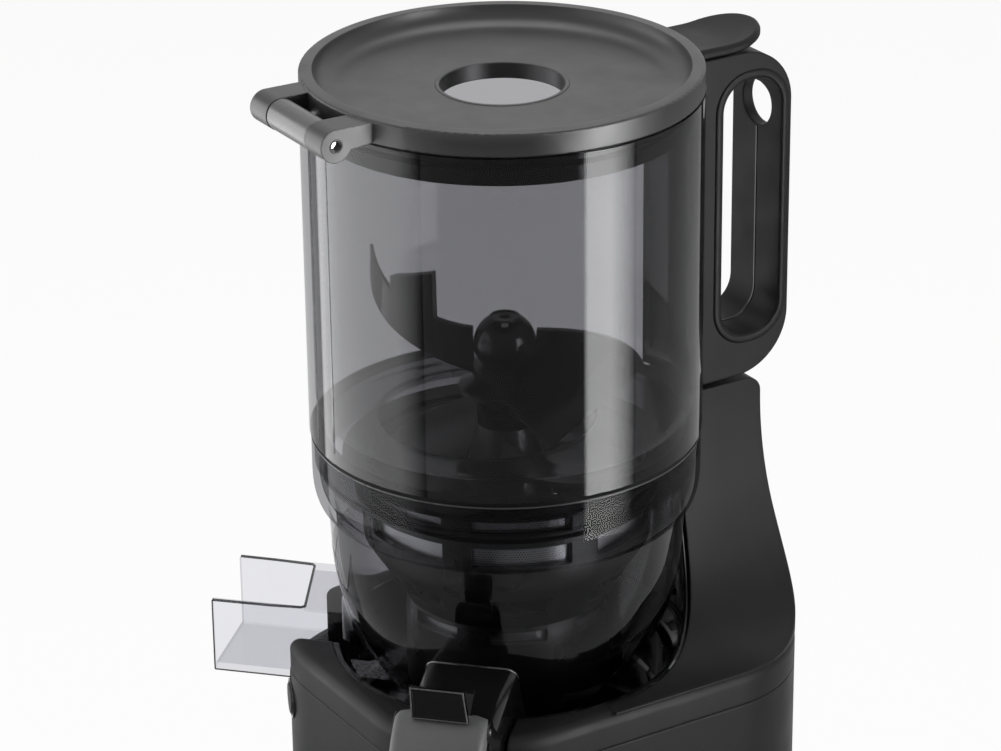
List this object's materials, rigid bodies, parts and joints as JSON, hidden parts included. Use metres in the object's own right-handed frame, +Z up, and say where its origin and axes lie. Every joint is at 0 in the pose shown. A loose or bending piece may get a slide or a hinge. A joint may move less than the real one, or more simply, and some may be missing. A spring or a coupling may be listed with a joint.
{
  "type": "cold press juicer",
  "caption": "Vertical cold press juicer with a smoky clear hopper, hinged lid, feed blade, auger and strainer in a clear bowl, pulp chute, juice spout with hinged cap, and geared motor base",
  "frame": {"origin": "on the table under the drive axis, in the plane of the rubber feet", "axes": "+Z up along the drive axis, -Y towards the user (lid hinge side), +Y towards the handle and the column, +X to the right seen from the front"},
  "size_m": [0.194, 0.2185, 0.45],
  "materials": {
    "housing_black": "fine satin moulding grain, lightly rubbed edges",
    "lid_grey": "satin dark grey with a fine grain",
    "hinge_grey": "satin grey",
    "cap_grey": "coarser matt texture",
    "gloss_black": "polished black, faint swirl marks",
    "auger_plastic": "dense black food grade plastic",
    "strainer_plastic": "black food grade plastic, satin",
    "inner_plastic": "plain moulded",
    "smoky_clear": "smoke-tinted clear plastic, polished",
    "pale_clear": "clear plastic with a slight grey tint",
    "black_rubber": "matt black rubber",
    "grey_rubber": "soft grey silicone",
    "brown_rubber": "brown shaft seal rubber",
    "motor_steel": "drawn steel",
    "bearing_steel": "ground steel",
    "mesh_steel": "fine perforated stainless sheet",
    "cast_gearbox": "die-cast aluminium, unpolished",
    "pinion_brass": "cut brass",
    "gear_plastic": "natural nylon",
    "copper_winding": "varnished copper wire",
    "circuit_board": "green board"
  },
  "bodies": {
    "base": {"lower_housing": "housing_black", "upper_housing": "housing_black", "back_panel": "gloss_black", "bowl_seat": "gloss_black", "base_plate": "inner_plastic", "rubber_feet": "black_rubber", "motor_damper": "black_rubber", "motor_case": "motor_steel", "motor_end_cap": "motor_steel", "stator": "copper_winding", "motor_bearings": "bearing_steel", "gearbox_case": "cast_gearbox", "gearbox_cover": "cast_gearbox", "idler_axle": "bearing_steel", "shaft_bearings": "bearing_steel", "shaft_seal": "brown_rubber", "bowl_gasket": "grey_rubber", "control_board": "circuit_board", "mains_inlet": "inner_plastic", "button_bezel": "gloss_black", "power_switch": "inner_plastic", "housing_screws": "bearing_steel", "gearbox_screws": "bearing_steel"},
    "rotor": {"motor_rotor": "motor_steel", "motor_pinion": "pinion_brass", "cooling_fan": "inner_plastic"},
    "idler": {"idler_gear": "gear_plastic"},
    "drive": {"output_gear": "gear_plastic", "drive_shaft": "bearing_steel"},
    "button": {"power_button": "housing_black"},
    "bowl": {"juice_bowl": "smoky_clear", "pulp_chute": "pale_clear", "juice_spout": "gloss_black", "strainer_frame": "strainer_plastic", "strainer_mesh": "mesh_steel", "cap_pin": "bearing_steel"},
    "spout_cap": {"juice_cap": "cap_grey", "cap_tab": "gloss_black", "cap_seal": "grey_rubber"},
    "squeezer": {"auger": "auger_plastic", "auger_flights": "auger_plastic"},
    "lock_ring": {"bayonet_ring": "smoky_clear"},
    "seal_ring": {"hopper_seal": "black_rubber"},
    "hopper_unit": {"hopper": "smoky_clear", "handle": "housing_black", "handle_bracket": "smoky_clear", "handle_screws": "bearing_steel", "hinge_bracket": "hinge_grey", "hinge_pin": "bearing_steel"},
    "blade": {"blade_hub": "gloss_black", "feed_blade": "gloss_black", "blade_knob": "gloss_black"},
    "lid_unit": {"lid": "lid_grey", "lid_skirt": "gloss_black", "lid_seal": "black_rubber", "lid_tab": "housing_black"}
  },
  "joints": [
    {"name": "shaft_spin", "type": "hinge", "parent": "base", "child": "drive", "pos_m": [0, 0, 0.14], "axis": [0, 0, 1], "continuous": true},
    {"name": "idler_spin", "type": "hinge", "parent": "base", "child": "idler", "pos_m": [0, 0.036, 0.13], "axis": [0, 0, 1], "continuous": true},
    {"name": "rotor_spin", "type": "hinge", "parent": "base", "child": "rotor", "pos_m": [0, 0, 0.06], "axis": [0, 0, 1], "continuous": true},
    {"name": "bowl_lift", "type": "slide", "parent": "base", "child": "bowl", "axis": [0, 0, 1], "range_m": [0, 0.13]},
    {"name": "auger_spin", "type": "hinge", "parent": "bowl", "child": "squeezer", "pos_m": [0, 0, 0.25], "axis": [0, 0, 1], "continuous": true},
    {"name": "hopper_lift", "type": "slide", "parent": "bowl", "child": "seal_ring", "axis": [0, 0, 1], "range_m": [0, 0.12]},
    {"name": "hopper_twist", "type": "hinge", "parent": "seal_ring", "child": "hopper_unit", "pos_m": [0, 0, 0.37], "axis": [0, 0, 1], "range_deg": [0, 26]},
    {"name": "ring_twist", "type": "hinge", "parent": "bowl", "child": "lock_ring", "pos_m": [0, 0, 0.298], "axis": [0, 0, 1], "range_deg": [0, 26]},
    {"name": "blade_spin", "type": "hinge", "parent": "seal_ring", "child": "blade", "pos_m": [0, 0, 0.33], "axis": [0, 0, 1], "continuous": true},
    {"name": "lid_open", "type": "hinge", "parent": "hopper_unit", "child": "lid_unit", "pos_m": [0, -0.085, 0.443], "axis": [1, 0, 0], "range_deg": [0, 105]},
    {"name": "cap_open", "type": "hinge", "parent": "bowl", "child": "spout_cap", "pos_m": [0.07389, -0.07389, 0.229], "axis": [-0.7071, -0.7071, 0], "range_deg": [0, 70]},
    {"name": "button_press", "type": "slide", "parent": "base", "child": "button", "axis": [0.3746, 0.9272, 0], "range_m": [0, 0.001], "stiffness_N_per_m": 400, "springref_m": -0.0005}
  ],
  "couplings": [
    {"joint": "idler_spin", "follows": "shaft_spin", "ratio": -5.5455},
    {"joint": "rotor_spin", "follows": "shaft_spin", "ratio": 30.752},
    {"joint": "auger_spin", "follows": "shaft_spin", "ratio": 1},
    {"joint": "blade_spin", "follows": "shaft_spin", "ratio": 1},
    {"joint": "ring_twist", "follows": "hopper_twist", "ratio": 1}
  ]
}
